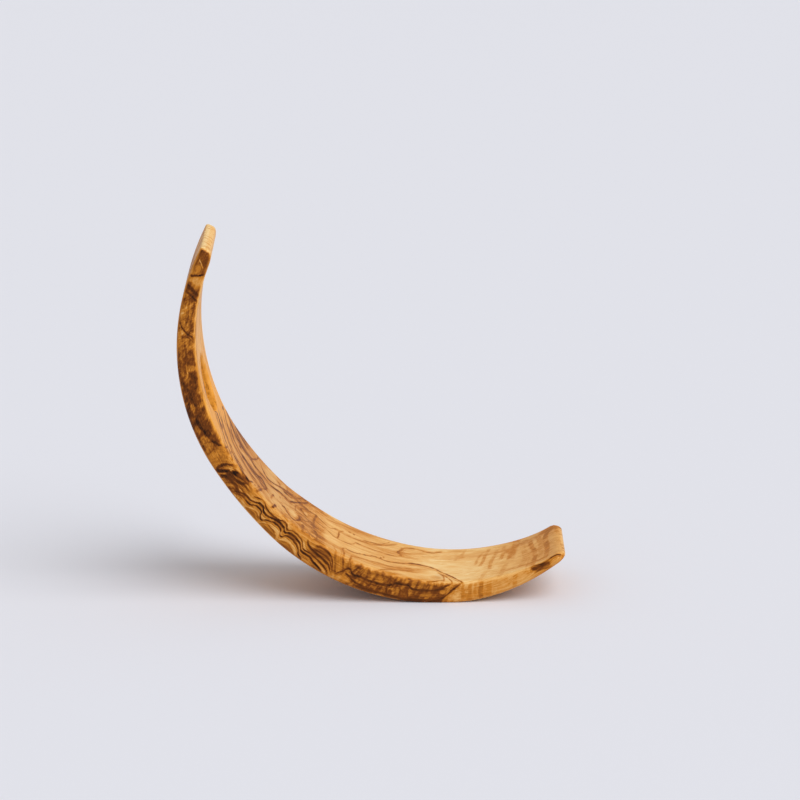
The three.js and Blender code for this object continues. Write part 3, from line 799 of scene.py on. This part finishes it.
# The outputs of a noise node: one number, or three.
NUMBER, NUMBERS = 0, 1


def mix(first, second, amount):
    """A number between two others."""
    return amount.node("ShaderNodeMix", {"data_type": "FLOAT"}, {0: amount, 2: first, 3: second})


def mix_colour(first, second, amount):
    """A colour between two others."""
    return amount.node("ShaderNodeMix", {"data_type": "RGBA"}, {0: amount, 6: first, 7: second}, 2)


def noise(place, texture, out=NUMBER):
    """One of the wood's textures: a number around 0, from about -1 to 1, or three numbers from 0 to 1."""
    sizes, detail, roughness, turn = TEXTURES[texture]
    scaled = place.node("ShaderNodeMapping", {"vector_type": "TEXTURE"}, {
        "Vector": place, "Rotation": (0.0, math.radians(turn), 0.0), "Scale": sizes})
    lumps = place.node("ShaderNodeTexNoise", {"noise_dimensions": "3D"}, {
        "Vector": scaled, "Scale": 1.0, "Detail": detail, "Roughness": roughness}, out)
    return lumps if out else lumps.math("MULTIPLY_ADD", NOISE_SPREAD, -NOISE_SPREAD * NOISE_MIDDLE)


def step(value, name):
    """One of the soft steps, from 0 to 1."""
    return rise(value, *STEPS[name])


def join(along, across, depth):
    """A vector from its three parts."""
    return along.node("ShaderNodeCombineXYZ", None, {0: along, 1: across, 2: depth})


def group_of(name, count, build):
    """A shader group that takes some numbers in and gives one out: what build makes of them."""
    group = bpy.data.node_groups.new(name, "ShaderNodeTree")
    for number in range(count):
        group.interface.new_socket(f"In {number}", in_out="INPUT", socket_type="NodeSocketFloat")
    group.interface.new_socket("Out", in_out="OUTPUT", socket_type="NodeSocketFloat")
    inputs = group.nodes.new("NodeGroupInput")
    made = build(*(Wire(group, socket) for socket in inputs.outputs[:count]))
    group.links.new(made.socket, group.nodes.new("NodeGroupOutput").inputs[0])
    return group


def vein(run, over, points, width, shade):
    """How strongly a vein marks each place: a soft line, and the shade that fades away beside it."""
    first, last = points[0][0], points[-1][0]
    fade = min(VEIN_FADE * (last - first), LONGEST_FADE)
    strength = follow(run, ((first, 0), (first + fade, 1), (last - fade, 1), (last, 0)))
    sides = THIN_SIDE + (SHADED_SIDE if shade else PLAIN_SIDE)
    profile = [(where * width, mark) for where, mark in sides]
    if shade:
        profile += [(width + where * abs(shade), mark) for where, mark in SHADE]
    gap = over - follow(run, points)
    return follow(-gap if shade < 0 else gap, profile) * strength


def patch(along, over, middle, level, half_length, half_height):
    """How strongly a soft round patch marks each place."""
    return 1 - step(hypot((along - middle) / half_length, (over - level) / half_height), "patch")


def figured(tone, along, over, along_veins, up_veins, patches, ink):
    """A plain tone with its patches and veins drawn over it, the veins as strongly as the ink says.

    Each mark shifts a little with the tone below it, so the marks are worked out one after another. Worked
    out all at once, they would need more room than a renderer has for one material.
    """
    def drawn(group, run, across, *values):
        moved = [tone.math("MULTIPLY_ADD", MARK_SHIFT, wire) for wire in (run, across)]
        return tone.node("ShaderNodeGroup", {"node_tree": group}, dict(enumerate((*moved, *values))))

    soft_patch = group_of("Patch", 6, patch)
    for *where, wanted in patches:
        tone = mix(tone, wanted, drawn(soft_patch, along, over, *where) * PATCH_INK)
    for veins, run, across in ((along_veins, along, over), (up_veins, over, along)):
        for points, width, shade, wanted in veins:
            line = group_of("Vein", 2, lambda a, b: vein(a, b, points, width, shade))
            tone = mix(tone, wanted, drawn(line, run, across) * ink)
    return tone


def wood_places(start, look):
    """What all parts of the figure share: where a point lies, and the textures that run all through."""
    at = SimpleNamespace()
    at.place = start.node("ShaderNodeAttribute", {"attribute_name": PLACE}, None, "Vector")
    reach = start.node("ShaderNodeAttribute", {"attribute_name": REACH}, None, "Vector")
    at.to_inner, at.to_outer, at.to_side = split(reach)
    wavering = start.node("ShaderNodeVectorMath", {"operation": "SUBTRACT"}, {
        0: noise(at.place, "waver", NUMBERS), 1: (NOISE_MIDDLE, NOISE_MIDDLE, NOISE_MIDDLE)})
    wavered = start.node("ShaderNodeVectorMath", {"operation": "MULTIPLY_ADD"}, {
        0: wavering, 1: [part * look.wobble / MM for part in WAVER_REACH], 2: at.place})
    at.along, at.across, at.depth = split(wavered)
    at.drifted = start.node("ShaderNodeVectorMath", {"operation": "MULTIPLY_ADD"}, {
        0: noise(at.place, "drift", NUMBERS), 1: DRIFT_REACH, 2: at.place})
    at.strokes = noise(at.place, "strokes")
    at.grain = noise(at.drifted, "grain")
    at.fibre = noise(at.drifted, "fibre")
    at.clouds = noise(at.drifted, "clouds")
    at.ink = choose(step(noise(at.place, "ink"), "ink"), 1, FAINTEST_INK)
    return at


def side_tone(at):
    """Tone of the two sides. The far side has the near side's figure, moved along."""
    far = step(at.across, "far half")
    along = at.along + far * (noise(at.place, "shuffle") * SIDE.far_shuffle + SIDE.far_shift)
    depth = at.depth + at.strokes * SIDE.waver + far * SIDE.far_drop
    bars = step(noise(at.place, "bars"), "bars") * 2 - 1
    smoke = noise(at.place, "smoke")
    specks = noise(at.place, "specks")
    tone = follow(along, SIDE_TONE) + at.clouds * SIDE.clouds + at.grain * SIDE.grain
    tone = tone + bars * SIDE.bars * follow(along, STROKE_SHARE)
    smoky = follow(along, SMOKE_SHARE)
    tone = tone + smoke * SIDE.smoke * smoky

    above = depth - follow(along, ECHO_LINE)
    echoes = noise(join(along, at.across, above), "echoes")
    near = 1 - step(above - follow(along, ECHO_REACH), "echo reach")
    tone = tone + (step(echoes, "echoes") * SIDE.echoes - SIDE.echo_gaps) * near * follow(along, ECHO_SHARE)
    arch = hypot((along - SIDE.arch_middle) * SIDE.arch_squeeze, depth)
    arches = noise(join(along, at.across, arch), "arches")
    tone = tone + arches * SIDE.arches * follow(along, ARCH_SHARE)

    tone = figured(tone, along, depth, SIDE_ALONG, SIDE_UP, SIDE_PATCHES, choose(at.ink, 1, 1 - SIDE.ink))
    tone = tone + specks * SIDE.specks * smoky
    # Painted highlight: the rounded edge between the side and the inner face is drawn paler, as far as the
    # table along the board says, broken up by the clouds and the smoke.
    arris_highlight = (1 - step(at.to_inner, "arris_highlight")) * follow(at.along, ARRIS_HIGHLIGHT_SHARE)
    arris_highlight = arris_highlight * step(at.clouds + smoke * SIDE.arris_highlight_smoke, "arris gaps")
    return mix(tone, least(tone, SIDE.arris_highlight_tone), arris_highlight)


def inner_tone(at):
    """Tone of the inner face: streaks that flow along the board, and swirl where its veins cross."""
    swirl = noise(at.place, "swirl") * follow(at.along, STREAK_SWIRL)
    flow = join(at.along, at.across - follow(at.along, STREAK_DRIFT) + swirl, at.depth)
    streaks = noise(flow, "streaks")
    lines = step(noise(flow, "lines"), "lines")
    bands = noise(flow, "bands")
    tone = follow(at.along, INNER_TONE) + at.clouds * INNER.clouds
    streaked = streaks * INNER.streaks + lines * INNER.lines + bands * INNER.bands - INNER.gaps
    tone = tone + most(streaked, INNER.palest) * follow(at.along, STREAK_SHARE)
    return figured(tone, at.along, at.across, INNER_ALONG, INNER_UP, INNER_PATCHES, at.ink)


def outer_tone(at):
    """Tone of the outer face: rings along the board, each darkest at one edge, around a brown heart."""
    wander = noise(at.place, "wander")
    rings = at.across * OUTER.rings_per_mm + wander * OUTER.ring_wander + at.clouds * OUTER.ring_clouds
    edges = follow(rings.math("FRACT"), RING_EDGE)
    fine = follow((rings * OUTER.fine_rings).math("FRACT"), FINE_RING_EDGE)
    strength = choose(step(noise(at.place, "ring strength"), "ring strength"), 1, OUTER.faintest)
    heart = step(wander + at.clouds * OUTER.heart_clouds, "heart")
    tone = follow(at.along, OUTER_TONE) + at.clouds * OUTER.clouds + at.grain * OUTER.grain
    tone = tone + heart * OUTER.heart
    return tone + (edges * OUTER.edges + fine * (OUTER.fine + heart * OUTER.heart_fine)) * strength


def wood_tone(at):
    """Tone of the whole board, and how far each place belongs to the inner face."""
    teeth = noise(at.place, "teeth") * ALL_OVER.teeth * follow(at.along, STROKE_SHARE)
    inner_share = step(least(at.to_side, at.to_outer) - at.to_inner + teeth, "inner face")
    outer_share = step(least(at.to_side, at.to_inner) - at.to_outer, "outer face")
    tone = mix(mix(side_tone(at), inner_tone(at), inner_share), outer_tone(at), outer_share)
    rim = at.to_inner - at.to_side + (at.depth - split(at.place)[2]) * ALL_OVER.rim_waver
    tone = figured(tone, at.along, rim, RIM_ALONG, (), (), at.ink * (1 - outer_share))

    buried = least(least(at.to_inner, at.to_outer), at.to_side)
    bore_tone = BORE.tone + at.strokes * BORE.strokes + at.grain * BORE.grain
    tone = mix(tone, bore_tone, step(buried, "bore wall"))
    ends = step(at.along, "tip end") + 1 - step(at.along, "lip end")
    end_lines = step(noise(at.place, "end lines"), "end lines")
    end_tone = choose(step(at.along, "tip half"), ENDS.tip_tone, ENDS.lip_tone)
    tone = mix(tone, end_tone + end_lines * ENDS.lines + at.fibre * ENDS.fibre, ends)
    flecks = step(noise(at.drifted, "flecks"), "flecks")
    return tone + at.fibre * ALL_OVER.fibre + flecks * ALL_OVER.flecks, inner_share


def wood_colour(at, look, tone, inner_share):
    """Colour of the wood from its tone, rosy in places and golden on the arm's inner face."""
    stops = [(level, getattr(look, name)) for name, level in TONE_COLOURS]
    colour = tone.node("ShaderNodeValToRGB", {"stops": stops}, {0: tone})
    rosy = None
    for where in ROSY_PATCHES:
        mark = patch(at.along, at.across, *where)
        rosy = mark if rosy is None else most(rosy, mark)
    rosy = rosy * inner_share * (1 - step(tone, "rosy tones"))
    rosy = rosy * (ALL_OVER.rosy + at.clouds * ALL_OVER.rosy_clouds)
    colour = mix_colour(colour, (*look.rose, 1.0), rosy)
    golden = inner_share * (1 - step(tone, "golden tones")) * follow(at.along, WARM_SHARE)
    return mix_colour(colour, (*look.gold, 1.0), golden)


def olive_wood(look):
    """Oiled olive wood, whose figure follows the board."""
    wood = bpy.data.materials.new("olive wood")
    wood.use_nodes = True
    tree = wood.node_tree
    shader = tree.nodes["Principled BSDF"]
    shader.inputs["Specular IOR Level"].default_value = look.gloss
    start = Wire(tree)
    at = wood_places(start, look)
    tone, inner_share = wood_tone(at)
    fed = {"Base Color": wood_colour(at, look, tone, inner_share)}
    pores = 1 - step(noise(at.place, "pores"), "pores")
    fed["Roughness"] = look.roughness + at.fibre * FINISH.fibre + pores * FINISH.pores + tone * FINISH.tone
    fed["Normal"] = start.node("ShaderNodeBump", None, {
        "Strength": 1.0, "Distance": look.pore_depth, "Height": at.fibre * FINISH.fibre_height - pores})
    for name, wire in fed.items():
        tree.links.new(wire.socket, shader.inputs[name])
    return wood


class HOLDER_OT_board(bpy.types.Operator):
    """Carve the olive wood board."""

    bl_idname = "holder.board"
    bl_label = "Carve the board"

    def execute(self, context):
        sizes = context.scene.holder_board
        tree, identifiers = board_tree(sizes, olive_wood(context.scene.holder_wood))
        board = bpy.data.objects.new("olive_board", bpy.data.meshes.new("olive_board"))
        context.scene.collection.objects.link(board)
        carving = board.modifiers.new("Carving", "NODES")
        carving.node_group = tree
        for key, identifier in identifiers.items():
            carving[identifier] = getattr(sizes, key)
        graph = context.evaluated_depsgraph_get()
        mesh = bpy.data.meshes.new_from_object(board.evaluated_get(graph), depsgraph=graph)
        if not mesh.polygons:
            raise RuntimeError("the carving gave no faces")
        board.modifiers.remove(carving)
        board.data = mesh
        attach(board, "root")
        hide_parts(BOARD_NODE)
        return {"FINISHED"}


class HOLDER_OT_stage(bpy.types.Operator):
    """Lay the floor, and set up the light and the camera."""

    bl_idname = "holder.stage"
    bl_label = "Set the stage"

    def execute(self, context):
        scene = context.scene
        stage = scene.holder_stage
        scene.view_settings.view_transform = "Standard"
        mesh = bpy.data.meshes.new("floor")
        reach = stage.floor_reach
        corners = [(-reach, -reach, 0), (reach, -reach, 0), (reach, reach, 0), (-reach, reach, 0)]
        mesh.from_pydata(corners, [], [(0, 1, 2, 3)])
        floor = bpy.data.objects.new("floor", mesh)
        scene.collection.objects.link(floor)
        material = bpy.data.materials.new("pale floor")
        material.use_nodes = True
        shader = material.node_tree.nodes["Principled BSDF"]
        shader.inputs["Base Color"].default_value = (*stage.floor_colour, 1.0)
        shader.inputs["Roughness"].default_value = stage.floor_roughness
        mesh.materials.append(material)

        world = bpy.data.worlds.new("soft room light")
        world.use_nodes = True
        world.node_tree.nodes["Background"].inputs["Color"].default_value = (1, 1, 1, 1)
        world.node_tree.nodes["Background"].inputs["Strength"].default_value = stage.room_light
        scene.world = world
        sun = bpy.data.lights.new("window light", "SUN")
        sun.energy = stage.window_light
        sun.angle = stage.window_spread
        lamp = bpy.data.objects.new("window light", sun)
        lamp.rotation_euler = (stage.window_lean_back, stage.window_lean_right, 0)
        scene.collection.objects.link(lamp)

        lens = bpy.data.cameras.new("camera")
        lens.lens = stage.lens / MM
        lens.clip_end = 2 * stage.floor_reach
        camera = bpy.data.objects.new("camera", lens)
        target = Vector((-stage.view_left, 0, stage.view_height))
        toward = Vector((0, math.cos(stage.view_climb), -math.sin(stage.view_climb)))
        camera.location = target - stage.view_distance * toward
        camera.rotation_euler = toward.to_track_quat("-Z", "Y").to_euler()
        scene.collection.objects.link(camera)
        scene.camera = camera
        return {"FINISHED"}


class HOLDER_PT_sidebar(bpy.types.Panel):
    """Lists the steps that build the holder."""

    bl_label = "Bottle holder"
    bl_idname = "HOLDER_PT_sidebar"
    bl_space_type = "VIEW_3D"
    bl_region_type = "UI"
    bl_category = "Holder"

    def draw(self, context):
        for operator in OPERATORS:
            self.layout.operator(operator.bl_idname)
        for name, group in GROUPS.items():
            box = self.layout.box()
            for key in group.__annotations__:
                box.prop(getattr(context.scene, name), key)


OPERATORS = (HOLDER_OT_board, HOLDER_OT_stage)
GROUPS = {"holder_board": HolderBoardSizes, "holder_wood": HolderWoodLook, "holder_stage": HolderStage}
CLASSES = (*GROUPS.values(), *OPERATORS, HOLDER_PT_sidebar)


def register():
    for cls in CLASSES:
        bpy.utils.register_class(cls)
    for name, group in GROUPS.items():
        setattr(bpy.types.Scene, name, PointerProperty(type=group))


def unregister():
    for name in GROUPS:
        delattr(bpy.types.Scene, name)
    for cls in reversed(CLASSES):
        bpy.utils.unregister_class(cls)


def main():
    register()
    bpy.ops.holder.board()
    bpy.ops.holder.stage()


if __name__ == "__main__":
    main()
